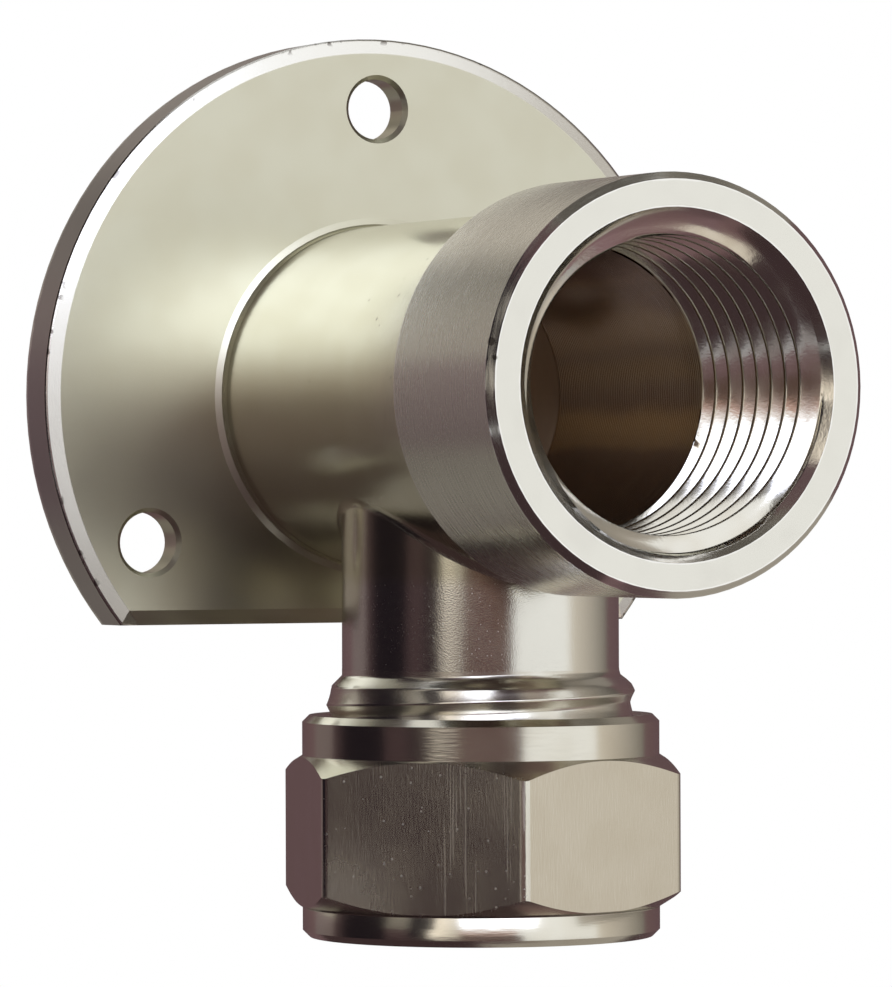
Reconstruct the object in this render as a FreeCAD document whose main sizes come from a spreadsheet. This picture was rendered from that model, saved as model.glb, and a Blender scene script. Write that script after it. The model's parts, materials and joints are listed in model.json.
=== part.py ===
"""Wall plate elbow: a forged plate and socket with a compression outlet for a 15 mm pipe.

The wall face is the plane Y = 0, the socket points along -Y and the outlet neck points along -Z.
Lengths are millimetres, angles are degrees.
"""
import FreeCAD, Part
import math
import os

import Sketcher

SIZES = {
    # Wall plate
    "plate_radius": 24.5,
    "plate_depth": 3.6,
    "plate_flat_drop": 15.4,
    "rim_bevel_width": 1.0,
    "rim_bevel_depth": 0.4,
    "back_recess_depth": 1.4,
    "back_lip_width": 2.2,
    # Screw holes
    "screw_rim_distance": 4.8,
    "screw_hole_radius": 2.05,
    "screw_hole_break": 0.3,
    "screw_hole_count": 3,
    # Tube and threaded socket
    "socket_thread_radius": 10.48,
    "socket_thread_height": 1.18,
    "socket_thread_depth": 14.0,
    "mouth_bevel": 0.57,
    "socket_face_width": 2.2,
    "socket_edge_bevel": 0.45,
    "socket_length": 13.25,
    "socket_reach": 46.5,
    "tube_wall": 2.35,
    "tube_root_radius": 0.6,
    "flare_radius": 4.0,
    "bore_overrun": 0.1,
    "drill_half_angle": 59.0,
    # Outlet neck
    "neck_offset": 19.0,
    "neck_drop": 28.6,
    "neck_wall": 1.55,
    "neck_root_fillet": 1.0,
    "neck_thread_length": 10.0,
    "neck_thread_step": 0.7,
    "thread_end_bevel": 0.5,
    "pipe_radius": 7.5,
    "pipe_gap": 0.1,
    "pipe_insertion": 11.0,
    "pipe_stop_width": 1.2,
    "seat_width": 1.3,
    "seat_half_angle": 30.0,
    # Olive
    "olive_length": 6.0,
    "olive_lip": 0.35,
    "olive_wall": 1.15,
    "seat_gap": 0.1,
    # Compression nut
    "nut_height": 14.6,
    "nut_collar_wall": 1.85,
    "nut_flat_step": 0.15,
    "nut_corner_round": 0.7,
    "nut_turned": 15.2,
    "nut_upper_collar": 2.65,
    "nut_lower_collar": 1.95,
    "nut_edge_bevel": 0.45,
    "nut_hex_bevel_angle": 32.0,
    "nut_thread_gap": 0.1,
    "nut_hole_gap": 0.15,
    "nut_land": 1.93,
}

# Radii of the socket and tube, as expressions of the sheet
SCREW_CIRCLE = "(Sizes.plate_radius - Sizes.screw_rim_distance)"
BORE_RADIUS = "(Sizes.socket_thread_radius - Sizes.socket_thread_height)"
MOUTH_RADIUS = "(Sizes.socket_thread_radius + Sizes.mouth_bevel)"
SOCKET_RADIUS = f"({MOUTH_RADIUS} + Sizes.socket_face_width)"
TUBE_RADIUS = f"({BORE_RADIUS} + Sizes.tube_wall)"

# Radii of the neck and of what seats on it
PIPE_BORE = "(Sizes.pipe_radius + Sizes.pipe_gap)"
WATERWAY = f"({PIPE_BORE} - Sizes.pipe_stop_width)"
NECK_RADIUS = f"({PIPE_BORE} + Sizes.neck_wall)"
NECK_THREAD = f"({NECK_RADIUS} + Sizes.neck_thread_step)"
SEAT_RADIUS = f"({PIPE_BORE} + Sizes.seat_width)"
OLIVE_END = f"({PIPE_BORE} + Sizes.olive_lip)"
OLIVE_BAND = f"({PIPE_BORE} + Sizes.olive_wall)"
NUT_HOLE = "(Sizes.pipe_radius + Sizes.nut_hole_gap)"
NUT_BORE = f"({NECK_THREAD} + Sizes.nut_thread_gap)"
NUT_COLLAR = f"({NUT_BORE} + Sizes.nut_collar_wall)"
NUT_FLAT = f"({NUT_COLLAR} + Sizes.nut_flat_step)"

# Heights that the seat, the olive and the nut share
SEAT_TAN = "tan(Sizes.seat_half_angle * 1 deg)"
SEAT_SHIFT = "(Sizes.seat_gap / cos(Sizes.seat_half_angle * 1 deg))"
THREAD_START = "(Sizes.neck_thread_length - Sizes.neck_drop)"
OLIVE_TAPER = f"(({OLIVE_BAND} - {OLIVE_END}) / {SEAT_TAN})"
OLIVE_TOP = f"(({SEAT_RADIUS} - {SEAT_SHIFT} - {OLIVE_END}) / {SEAT_TAN} - Sizes.neck_drop)"
OLIVE_FOOT = f"({OLIVE_TOP} - Sizes.olive_length)"
NUT_CONE_FOOT = f"({OLIVE_FOOT} - ({OLIVE_END} + {SEAT_SHIFT} - {NUT_HOLE}) / {SEAT_TAN})"
NUT_FOOT = f"({NUT_CONE_FOOT} - Sizes.nut_land)"

TOLERANCE = 0.01
EDGE_SAMPLES = 8

doc = FreeCAD.newDocument("wall_plate_elbow")


def make_sheet(sizes):
    """Fill the driving sheet, one aliased cell for each size."""
    sheet = doc.addObject("Spreadsheet::Sheet", "Sizes")
    for row, (alias, value) in enumerate(sizes.items(), start=1):
        sheet.set(f"A{row}", alias)
        sheet.set(f"B{row}", str(value))
        sheet.setAlias(f"B{row}", alias)
    doc.recompute()
    return sheet


def make_body(label):
    """Start a body whose label names its piece."""
    body = doc.addObject("PartDesign::Body", label)
    body.Label = label
    return body


def origin_feature(body, role):
    """Return one of the body's own origin planes or axes."""
    return next(item for item in body.Origin.OriginFeatures if item.Role == role)


def make_sketch(body, name, plane):
    """Attach an empty sketch to one of the body's origin planes."""
    sketch = body.newObject("Sketcher::SketchObject", name)
    sketch.AttachmentSupport = [(origin_feature(body, plane), "")]
    sketch.MapMode = "FlatFace"
    return sketch


def size_of(expression):
    """Work out an expression of the sheet as a plain number."""
    value = sheet.evalExpression(expression)
    return float(getattr(value, "Value", value))


def hold_point(sketch, geometry, end, across, up):
    """Fix a point of the sketch at two expressions of the sheet; "0" holds it on an axis."""
    for kind, expression, axis in (("DistanceX", across, -2), ("DistanceY", up, -1)):
        if expression == "0":
            sketch.addConstraint(Sketcher.Constraint("PointOnObject", geometry, end, axis))
        else:
            datum = Sketcher.Constraint(kind, -1, 1, geometry, end, size_of(expression))
            index = sketch.addConstraint(datum)
            sketch.setExpression(f"Constraints[{index}]", expression)


def draw_profile(sketch, corners, arcs=None):
    """Draw a closed profile through corners given as pairs of expressions.

    arcs names the runs that are round: the number of the run's first corner, then the radius and
    the centre, each as expressions.
    """
    arcs = arcs or {}
    points = [FreeCAD.Vector(size_of(across), size_of(up), 0) for across, up in corners]
    for index, start in enumerate(points):
        end = points[(index + 1) % len(points)]
        if index in arcs:
            radius, centre = arcs[index]
            middle = FreeCAD.Vector(size_of(centre[0]), size_of(centre[1]), 0)
            towards = (start - middle).normalize() + (end - middle).normalize()
            crown = middle + towards.normalize() * size_of(radius)
            sketch.addGeometry(Part.Arc(start, crown, end), False)
        else:
            sketch.addGeometry(Part.LineSegment(start, end), False)
    ends = [run_ends(sketch, index) for index in range(len(points))]
    for index in range(len(points)):
        after = (index + 1) % len(points)
        joint = Sketcher.Constraint("Coincident", index, ends[index][1], after, ends[after][0])
        sketch.addConstraint(joint)
    for index, (across, up) in enumerate(corners):
        hold_point(sketch, index, ends[index][0], across, up)
    for index, (radius, _) in arcs.items():
        datum = sketch.addConstraint(Sketcher.Constraint("Radius", index, size_of(radius)))
        sketch.setExpression(f"Constraints[{datum}]", radius)


def run_ends(sketch, index):
    """Return the start and end numbers of a run; an arc drawn clockwise has them swapped."""
    run = sketch.Geometry[index]
    if run.TypeId == "Part::GeomArcOfCircle" and run.Circle.Axis.z < 0:
        return 2, 1
    return 1, 2


def draw_circle(sketch, across, up, radius):
    """Draw a circle from expressions for its centre and radius."""
    centre = FreeCAD.Vector(size_of(across), size_of(up), 0)
    index = sketch.addGeometry(Part.Circle(centre, FreeCAD.Vector(0, 0, 1), size_of(radius)), False)
    hold_point(sketch, index, 3, across, up)
    datum = sketch.addConstraint(Sketcher.Constraint("Radius", index, size_of(radius)))
    sketch.setExpression(f"Constraints[{datum}]", radius)


def draw_axis(sketch, across):
    """Draw an upright construction line to turn a profile about, and return its name."""
    low = "-Sizes.neck_drop"
    foot = FreeCAD.Vector(size_of(across), size_of(low), 0)
    head = FreeCAD.Vector(size_of(across), 0, 0)
    index = sketch.addGeometry(Part.LineSegment(foot, head), True)
    hold_point(sketch, index, 1, across, low)
    hold_point(sketch, index, 2, across, "0")
    return "Axis0"


def add_feature(body, kind, name, sketch=None, **properties):
    """Add a feature to the body; a text property is bound to the sheet as an expression."""
    feature = body.newObject(f"PartDesign::{kind}", name)
    if sketch is not None:
        feature.Profile = sketch
        sketch.Visibility = False
    for prop, value in properties.items():
        if isinstance(value, str):
            feature.setExpression(prop, value)
        else:
            setattr(feature, prop, value)
    body.Tip = feature
    doc.recompute()
    return feature


def cut_feature(body, kind, name, sketch, **properties):
    """Add a feature that removes metal, and stop if it removed none."""
    before = body.Shape.Volume
    feature = add_feature(body, kind, name, sketch, **properties)
    if body.Shape.Volume >= before:
        raise RuntimeError(f"{name} cut nothing")
    return feature


def edges_where(feature, test):
    """Name the edges of a feature's shape that pass a test."""
    return [f"Edge{i}" for i, edge in enumerate(feature.Shape.Edges, start=1) if test(edge)]


def close_to(value, target):
    """Tell whether two lengths agree."""
    return abs(value - target) < TOLERANCE


def draw_hollow(sketch):
    """Draw the outline of the hollow back: the plate's own outline, drawn in by the lip."""
    radius = "(Sizes.plate_radius - Sizes.back_lip_width)"
    drop = "(Sizes.plate_flat_drop - Sizes.back_lip_width)"
    half = f"sqrt({radius}^2 - {drop}^2)"
    corners = [(f"-{half}", f"-{drop}"), (half, f"-{drop}"), ("0", radius)]
    centre = ("0", "0")
    draw_profile(sketch, corners, {1: (radius, centre), 2: (radius, centre)})


def make_plate(body):
    """Make the wall plate: a disc with a bevelled front rim, cut flat below and hollow at the back."""
    disc = make_sketch(body, "PlateProfile", "XY_Plane")
    bevel_back = "-(Sizes.plate_depth - Sizes.rim_bevel_depth)"
    draw_profile(disc, [
        ("0", "0"),
        ("Sizes.plate_radius", "0"),
        ("Sizes.plate_radius", bevel_back),
        ("Sizes.plate_radius - Sizes.rim_bevel_width", "-Sizes.plate_depth"),
        ("0", "-Sizes.plate_depth"),
    ])
    add_feature(body, "Revolution", "Plate", disc, ReferenceAxis=(disc, ["V_Axis"]), Angle=360.0)
    flat = make_sketch(body, "FlatProfile", "YZ_Plane")
    draw_profile(flat, [
        ("0", "-Sizes.plate_flat_drop"),
        (bevel_back, "-Sizes.plate_flat_drop"),
        ("-Sizes.plate_depth", "-(Sizes.plate_flat_drop - Sizes.rim_bevel_width)"),
        ("-Sizes.plate_depth", "-Sizes.plate_radius"),
        ("0", "-Sizes.plate_radius"),
    ])
    cut_feature(body, "Pocket", "PlateFlat", flat, Length="2 * Sizes.plate_radius", Midplane=True)
    hollow = make_sketch(body, "BackHollow", "XZ_Plane")
    draw_hollow(hollow)
    cut_feature(body, "Pocket", "BackRecess", hollow, Length="Sizes.back_recess_depth", Reversed=True)


def make_socket(body):
    """Turn the tube that stands off the plate and flares into the socket's collar.

    The root of the tube is rounded by two flats, which meet halfway round the root radius.
    """
    sketch = make_sketch(body, "SocketProfile", "XY_Plane")
    start = "-(Sizes.plate_depth + Sizes.back_recess_depth) / 2"
    root = "Sizes.tube_root_radius"
    half_root = f"{root} * (1 - sqrt(0.5))"
    rise = f"({SOCKET_RADIUS} - {TUBE_RADIUS})"
    run = f"sqrt(Sizes.flare_radius^2 - (Sizes.flare_radius - {rise})^2)"
    collar_back = "-(Sizes.socket_reach - Sizes.socket_length)"
    flare_start = f"{collar_back} + {run}"
    corners = [
        ("0", start),
        ("0", "-Sizes.socket_reach"),
        (f"{SOCKET_RADIUS} - Sizes.socket_edge_bevel", "-Sizes.socket_reach"),
        (SOCKET_RADIUS, "-Sizes.socket_reach + Sizes.socket_edge_bevel"),
        (SOCKET_RADIUS, collar_back),
        (TUBE_RADIUS, flare_start),
        (TUBE_RADIUS, f"-Sizes.plate_depth - {root}"),
        (f"{TUBE_RADIUS} + {half_root}", f"-Sizes.plate_depth - {half_root}"),
        (f"{TUBE_RADIUS} + {root}", "-Sizes.plate_depth"),
        (f"{TUBE_RADIUS} + {root}", start),
    ]
    flare_centre = (f"{TUBE_RADIUS} + Sizes.flare_radius", flare_start)
    draw_profile(sketch, corners, {4: ("Sizes.flare_radius", flare_centre)})
    add_feature(body, "Revolution", "Socket", sketch, ReferenceAxis=(sketch, ["V_Axis"]), Angle=360.0)


def make_neck(body):
    """Turn the outlet neck with the plain length that carries its thread."""
    sketch = make_sketch(body, "NeckProfile", "YZ_Plane")
    axis = draw_neck_profile(sketch, [
        ("0", "0"),
        (NECK_RADIUS, "0"),
        (NECK_RADIUS, THREAD_START),
        (NECK_THREAD, f"{THREAD_START} - Sizes.neck_thread_step"),
        (NECK_THREAD, "-Sizes.neck_drop + Sizes.thread_end_bevel"),
        (f"{NECK_THREAD} - Sizes.thread_end_bevel", "-Sizes.neck_drop"),
        ("0", "-Sizes.neck_drop"),
    ])
    add_feature(body, "Revolution", "Neck", sketch, ReferenceAxis=(sketch, [axis]), Angle=360.0)


def draw_neck_profile(sketch, corners):
    """Draw a profile given as radius and height about the neck's axis, and return that axis."""
    shifted = [(f"-Sizes.neck_offset + ({radius})", height) for radius, height in corners]
    draw_profile(sketch, shifted)
    return draw_axis(sketch, "-Sizes.neck_offset")


def blend_neck(body):
    """Fillet the neck into the tube."""
    base = body.Tip
    tube = size_of(TUBE_RADIUS)
    neck = size_of(NECK_RADIUS)
    offset = -size_of("Sizes.neck_offset")

    def is_neck_root(edge):
        points = edge.discretize(EDGE_SAMPLES)
        on_neck = all(close_to(math.hypot(p.x, p.y - offset), neck) for p in points)
        on_tube = all(close_to(math.hypot(p.x, p.z), tube) for p in points)
        return on_neck and on_tube

    root = edges_where(base, is_neck_root)
    add_feature(body, "Fillet", "NeckRoot", Base=(base, root), Radius="Sizes.neck_root_fillet")


def bore_socket(body):
    """Bore the socket: bevelled mouth, thread length, smooth waterway and drilled end."""
    sketch = make_sketch(body, "SocketBore", "XY_Plane")
    face = "-Sizes.socket_reach"
    bore_end = f"-Sizes.neck_offset + {WATERWAY} + Sizes.bore_overrun"
    tip = f"{BORE_RADIUS} / tan(Sizes.drill_half_angle * 1 deg)"
    corners = [
        ("0", face),
        (MOUTH_RADIUS, face),
        ("Sizes.socket_thread_radius", f"{face} + Sizes.mouth_bevel"),
        ("Sizes.socket_thread_radius", f"{face} + Sizes.socket_thread_depth"),
        (BORE_RADIUS, f"{face} + Sizes.socket_thread_depth"),
        (BORE_RADIUS, bore_end),
        ("0", f"{bore_end} + {tip}"),
    ]
    draw_profile(sketch, corners)
    cut_feature(body, "Groove", "SocketBoring", sketch, ReferenceAxis=(sketch, ["V_Axis"]), Angle=360.0)


def bore_neck(body):
    """Bore the neck: coned seat for the olive, pipe socket, pipe stop and waterway."""
    sketch = make_sketch(body, "NeckBore", "YZ_Plane")
    seat_top = f"-Sizes.neck_drop + ({SEAT_RADIUS} - {PIPE_BORE}) / {SEAT_TAN}"
    stop = "-Sizes.neck_drop + Sizes.pipe_insertion"
    axis = draw_neck_profile(sketch, [
        ("0", "-Sizes.neck_drop"),
        (SEAT_RADIUS, "-Sizes.neck_drop"),
        (PIPE_BORE, seat_top),
        (PIPE_BORE, stop),
        (WATERWAY, stop),
        (WATERWAY, "0"),
        ("0", "0"),
    ])
    cut_feature(body, "Groove", "NeckBoring", sketch, ReferenceAxis=(sketch, [axis]), Angle=360.0)


def drill_plate(body):
    """Drill the ring of screw holes and break their front edges."""
    sketch = make_sketch(body, "ScrewHole", "XZ_Plane")
    draw_circle(sketch, "0", SCREW_CIRCLE, "Sizes.screw_hole_radius")
    hole = cut_feature(body, "Pocket", "ScrewDrilling", sketch, Length="Sizes.plate_depth", Reversed=True)
    ring = add_feature(body, "PolarPattern", "ScrewRing", Originals=[hole], Angle=360.0,
                       Axis=(origin_feature(body, "Y_Axis"), [""]), Occurrences="Sizes.screw_hole_count")
    front = -size_of("Sizes.plate_depth")
    radius = size_of("Sizes.screw_hole_radius")

    def is_front_edge(edge):
        round_edge = hasattr(edge.Curve, "Radius") and close_to(edge.Curve.Radius, radius)
        return round_edge and close_to(edge.BoundBox.YMin, front) and close_to(edge.BoundBox.YMax, front)

    fronts = edges_where(ring, is_front_edge)
    add_feature(body, "Chamfer", "ScrewHoleEdges", Base=(ring, fronts), Size="Sizes.screw_hole_break")


def make_elbow():
    """Make the forged body: plate, tube, socket and neck in one piece."""
    body = make_body("elbow_body")
    make_plate(body)
    make_socket(body)
    make_neck(body)
    blend_neck(body)
    bore_socket(body)
    bore_neck(body)
    drill_plate(body)
    return body


def place_on_neck(body, height, turn="0"):
    """Stand a piece on the neck's axis at a height, turned about it."""
    body.setExpression(".Placement.Base.y", "-Sizes.neck_offset")
    body.setExpression(".Placement.Base.z", height)
    body.setExpression(".Placement.Rotation.Angle", f"({turn}) * 1 deg")


def make_olive():
    """Turn the sealing ring, coned at both ends."""
    body = make_body("olive")
    sketch = make_sketch(body, "OliveProfile", "XZ_Plane")
    draw_profile(sketch, [
        (PIPE_BORE, "0"),
        (OLIVE_END, "0"),
        (OLIVE_BAND, OLIVE_TAPER),
        (OLIVE_BAND, f"Sizes.olive_length - {OLIVE_TAPER}"),
        (OLIVE_END, "Sizes.olive_length"),
        (PIPE_BORE, "Sizes.olive_length"),
    ])
    add_feature(body, "Revolution", "Olive", sketch, ReferenceAxis=(sketch, ["V_Axis"]), Angle=360.0)
    place_on_neck(body, OLIVE_FOOT)
    return body


def draw_hexagon(sketch):
    """Draw the hexagon of the nut with one corner on the sketch's own X direction."""
    corner = f"(2 * {NUT_FLAT} / sqrt(3))"
    half = f"({NUT_FLAT} / sqrt(3))"
    draw_profile(sketch, [
        (corner, "0"),
        (half, NUT_FLAT),
        (f"-{half}", NUT_FLAT),
        (f"-{corner}", "0"),
        (f"-{half}", f"-{NUT_FLAT}"),
        (half, f"-{NUT_FLAT}"),
    ])


def turn_nut_end(body, name, end, inward, collar):
    """Turn a round collar on one end of the hexagon and bevel the corners next to it.

    end is the height of that end, inward is the sign of the way into the nut, and collar its height.
    """
    sketch = make_sketch(body, name + "Profile", "XZ_Plane")
    outer = f"2 * {NUT_FLAT}"
    slope = "tan(Sizes.nut_hex_bevel_angle * 1 deg)"
    shoulder = f"{end} {inward} {collar}"
    cut_corners = [
        (f"{NUT_COLLAR} - Sizes.nut_edge_bevel", end),
        (NUT_COLLAR, f"{end} {inward} Sizes.nut_edge_bevel"),
        (NUT_COLLAR, shoulder),
        (outer, f"{shoulder} {inward} ({outer} - {NUT_COLLAR}) * {slope}"),
        (outer, end),
    ]
    draw_profile(sketch, cut_corners)
    cut_feature(body, "Groove", name, sketch, ReferenceAxis=(sketch, ["V_Axis"]), Angle=360.0)


def bore_nut(body):
    """Bore the nut: pipe hole, cone that presses the olive, and the length that carries its thread."""
    sketch = make_sketch(body, "NutBore", "XZ_Plane")
    cone_rise = f"({NUT_BORE} - {NUT_HOLE}) / {SEAT_TAN}"
    draw_profile(sketch, [
        ("0", "0"),
        (f"{NUT_HOLE} + Sizes.nut_edge_bevel", "0"),
        (NUT_HOLE, "Sizes.nut_edge_bevel"),
        (NUT_HOLE, "Sizes.nut_land"),
        (NUT_BORE, f"Sizes.nut_land + {cone_rise}"),
        (NUT_BORE, "Sizes.nut_height - Sizes.nut_edge_bevel"),
        (f"{NUT_BORE} + Sizes.nut_edge_bevel", "Sizes.nut_height"),
        ("0", "Sizes.nut_height"),
    ])
    cut_feature(body, "Groove", "NutBoring", sketch, ReferenceAxis=(sketch, ["V_Axis"]), Angle=360.0)


def make_nut():
    """Make the compression nut from a hexagon bar."""
    body = make_body("compression_nut")
    sketch = make_sketch(body, "Hexagon", "XY_Plane")
    draw_hexagon(sketch)
    bar = add_feature(body, "Pad", "HexagonBar", sketch, Length="Sizes.nut_height")
    uprights = edges_where(bar, lambda edge: edge.BoundBox.ZLength > size_of("Sizes.nut_height") / 2)
    add_feature(body, "Fillet", "HexagonCorners", Base=(bar, uprights), Radius="Sizes.nut_corner_round")
    turn_nut_end(body, "UpperCollar", "Sizes.nut_height", "-", "Sizes.nut_upper_collar")
    turn_nut_end(body, "LowerCollar", "0", "+", "Sizes.nut_lower_collar")
    bore_nut(body)
    place_on_neck(body, NUT_FOOT, "Sizes.nut_turned")
    return body


def check_and_export(bodies):
    """Stop on any failed object or bad shape, then write one STEP file for each piece."""
    doc.recompute()
    failed = [item.Name for item in doc.Objects if {"Invalid", "Error"} & set(item.State)]
    if failed:
        raise RuntimeError(f"failed objects: {failed}")
    os.makedirs("parts", exist_ok=True)
    for body in bodies:
        shape = body.Shape
        if shape.isNull() or not shape.isValid() or len(shape.Solids) != 1:
            raise RuntimeError(f"{body.Label} is not one valid solid")
    for body in bodies:
        body.Shape.exportStep(f"parts/{body.Label}.step")
        print(f"{body.Label}: {body.Shape.Volume:.1f} mm3")


sheet = make_sheet(SIZES)
check_and_export([make_elbow(), make_olive(), make_nut()])
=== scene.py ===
"""Wall plate elbow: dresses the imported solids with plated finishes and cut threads, and sets the studio."""
import json
import logging
import math
from dataclasses import dataclass
from enum import Enum
from functools import cached_property, partial, reduce
from typing import Callable, Optional, Union

import bmesh
import bpy
from mathutils import Matrix, Vector


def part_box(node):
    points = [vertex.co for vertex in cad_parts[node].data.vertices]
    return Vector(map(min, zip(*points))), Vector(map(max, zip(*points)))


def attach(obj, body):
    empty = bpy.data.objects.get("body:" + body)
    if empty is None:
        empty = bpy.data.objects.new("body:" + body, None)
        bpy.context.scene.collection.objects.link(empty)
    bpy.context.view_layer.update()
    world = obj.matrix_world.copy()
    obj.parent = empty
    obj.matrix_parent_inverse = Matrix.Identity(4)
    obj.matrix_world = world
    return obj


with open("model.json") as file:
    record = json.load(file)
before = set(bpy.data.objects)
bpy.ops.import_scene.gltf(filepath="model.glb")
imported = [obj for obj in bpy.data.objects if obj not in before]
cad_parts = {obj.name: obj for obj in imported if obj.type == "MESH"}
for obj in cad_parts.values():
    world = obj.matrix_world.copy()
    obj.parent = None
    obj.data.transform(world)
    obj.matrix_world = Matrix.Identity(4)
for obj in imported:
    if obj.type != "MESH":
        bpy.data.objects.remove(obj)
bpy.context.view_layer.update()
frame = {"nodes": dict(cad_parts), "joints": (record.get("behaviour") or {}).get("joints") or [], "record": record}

LOG = logging.getLogger("wall_plate_elbow")
MM = 0.001
SOFT = 0.1  # the width of a mask's soft edge, in millimetres

Pair = tuple[float, float]
Triple = tuple[float, float, float]
Quad = tuple[float, float, float, float]
Colour = Triple
Object = bpy.types.Object
Material = bpy.types.Material
Socket = bpy.types.NodeSocket
Input = Union[Socket, float, tuple]


class Node(Enum):
    """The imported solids."""

    ELBOW = "elbow_body"
    NUT = "compression_nut"
    OLIVE = "olive"


class Body(Enum):
    """The body that the added threads ride on."""

    ELBOW = "elbow"


class Slot(Enum):
    """The record's material slot of the forging."""

    FORGING = "plated_forging"


class Kind(Enum):
    """The kinds of socket that a shader group's interface has."""

    VALUE = "NodeSocketFloat"
    VECTOR = "NodeSocketVector"


class Graph:
    """Adds nodes to one shader tree and links them."""

    def __init__(self, tree: bpy.types.NodeTree) -> None:
        """Keep the tree that nodes are added to."""
        self.tree = tree

    def node(self, kind: str, inputs: Optional[dict] = None, **settings: object) -> bpy.types.Node:
        """Add a node, set its options and connect or set its inputs.

        Args:
            kind: Blender's type name of the node.
            inputs: values or sockets by the input's name or number.
            settings: the node's own options.

        Returns:
            The new node.
        """
        made = self.tree.nodes.new(kind)
        for name, value in settings.items():
            setattr(made, name, value)
        for key, value in (inputs or {}).items():
            self.feed(made.inputs[key], value)
        return made

    def feed(self, target: Socket, value: Input) -> None:
        """Link a socket to an input, or set the input's own value.

        Args:
            target: the input.
            value: the socket, number, vector or colour that it gets.
        """
        if isinstance(value, bpy.types.NodeSocket):
            self.tree.links.new(value, target)
        elif target.type == "RGBA" and len(value) == 3:
            target.default_value = (*value, 1.0)
        else:
            target.default_value = value

    def math(self, operation: str, *values: Input) -> Socket:
        """Add a Math node and return its result."""
        return self.node("ShaderNodeMath", dict(enumerate(values)), operation=operation).outputs[0]

    def chain(self, operation: str, values: tuple[Input, ...]) -> Socket:
        """Join values one after another by one operation and return the result."""
        return reduce(partial(self.math, operation), values)

    def total(self, *values: Input) -> Socket:
        """Add up values and return the sum."""
        return self.chain("ADD", values)

    def times(self, *values: Input) -> Socket:
        """Multiply values and return the product."""
        return self.chain("MULTIPLY", values)

    def most(self, *values: Input) -> Socket:
        """Give the greatest of some values."""
        return self.chain("MAXIMUM", values)

    def less(self, first: Input, second: Input) -> Socket:
        """Take the second value from the first and return the rest."""
        return self.math("SUBTRACT", first, second)

    def parts(self, position: Input) -> tuple[Socket, ...]:
        """Split a position into its three coordinates."""
        return tuple(self.node("ShaderNodeSeparateXYZ", {0: position}).outputs)

    def vector(self, operation: str, *values: Input) -> bpy.types.Node:
        """Add a Vector Math node and return it."""
        return self.node("ShaderNodeVectorMath", dict(enumerate(values)), operation=operation)

    def stretch(self, position: Input, scales: Input) -> Socket:
        """Scale a position by a factor for each axis and return the new position."""
        return self.vector("MULTIPLY", position, scales).outputs[0]

    def noise(self, position: Input, scale: float = 1.0, detail: float = 1.0, rough: float = 0.5) -> Socket:
        """Add noise of about 0.5 over a position, with features of about 1 / scale and finer octaves."""
        fields = {"Vector": position, "Scale": scale, "Detail": detail, "Roughness": rough}
        return self.node("ShaderNodeTexNoise", fields).outputs["Fac"]

    def step(self, value: Input, low: Input, high: Input) -> Socket:
        """Rise smoothly from 0 at low to 1 at high, or fall if low is above high."""
        fields = {"Value": value, "From Min": low, "From Max": high}
        return self.node("ShaderNodeMapRange", fields, interpolation_type="SMOOTHSTEP").outputs[0]

    def border(self, value: Input, place: float, low: float, high: float) -> Socket:
        """Rise from 0 to 1 near a place, between two distances from it that are counted in soft edges."""
        return self.step(value, place + low * SOFT, place + high * SOFT)

    def band(self, value: Input, start: float, full: float, fading: float, end: float) -> Socket:
        """Rise from 0 at start to 1 at full, and fall again from fading to 0 at end."""
        return self.times(self.step(value, start, full), self.step(value, end, fading))

    def remap(self, value: Input, low: float, high: float) -> Socket:
        """Spread a value from 0..1 over low..high and return it."""
        return self.node("ShaderNodeMapRange", {"Value": value, "To Min": low, "To Max": high}).outputs[0]

    def tint(self, factor: Input, first: Input, second: Input) -> Socket:
        """Mix two colours and return the result."""
        return self.node("ShaderNodeMix", {0: factor, 6: first, 7: second}, data_type="RGBA").outputs[2]

    def blend(self, factor: Input, first: Input, second: Input) -> Socket:
        """Mix two values and return the result."""
        return self.node("ShaderNodeMix", {0: factor, 2: first, 3: second}, data_type="FLOAT").outputs[0]

    def steer(self, factor: Input, first: Input, second: Input) -> Socket:
        """Mix two vectors and return the result."""
        return self.node("ShaderNodeMix", {0: factor, 4: first, 5: second}, data_type="VECTOR").outputs[1]

    def hypotenuse(self, first: Input, second: Input) -> Socket:
        """Give the length of the longest side over two right-angled ones."""
        return self.math("SQRT", self.total(self.times(first, first), self.times(second, second)))


class ShaderGroup(Graph):
    """A shared effect: a node group with named inputs and one output."""

    def __init__(self, name: str, output: str, **inputs: Kind) -> None:
        """Make the group's tree and its interface.

        Args:
            name: the group's name.
            output: the output's name.
            inputs: the kind of each input.
        """
        super().__init__(bpy.data.node_groups.new(name, "ShaderNodeTree"))
        for label, kind in inputs.items():
            self.tree.interface.new_socket(name=label, in_out="INPUT", socket_type=kind.value)
        self.tree.interface.new_socket(name=output, in_out="OUTPUT", socket_type=Kind.VALUE.value)
        self.given = self.tree.nodes.new("NodeGroupInput").outputs
        self.result = self.tree.nodes.new("NodeGroupOutput").inputs[0]

    def give(self, value: Socket) -> "ShaderGroup":
        """Connect the group's output and return the group."""
        self.feed(self.result, value)
        return self

    def place(self, graph: Graph, **values: Input) -> Socket:
        """Put the group into another tree with its inputs there, and return its output."""
        return graph.node("ShaderNodeGroup", values, node_tree=self.tree).outputs[0]


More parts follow.
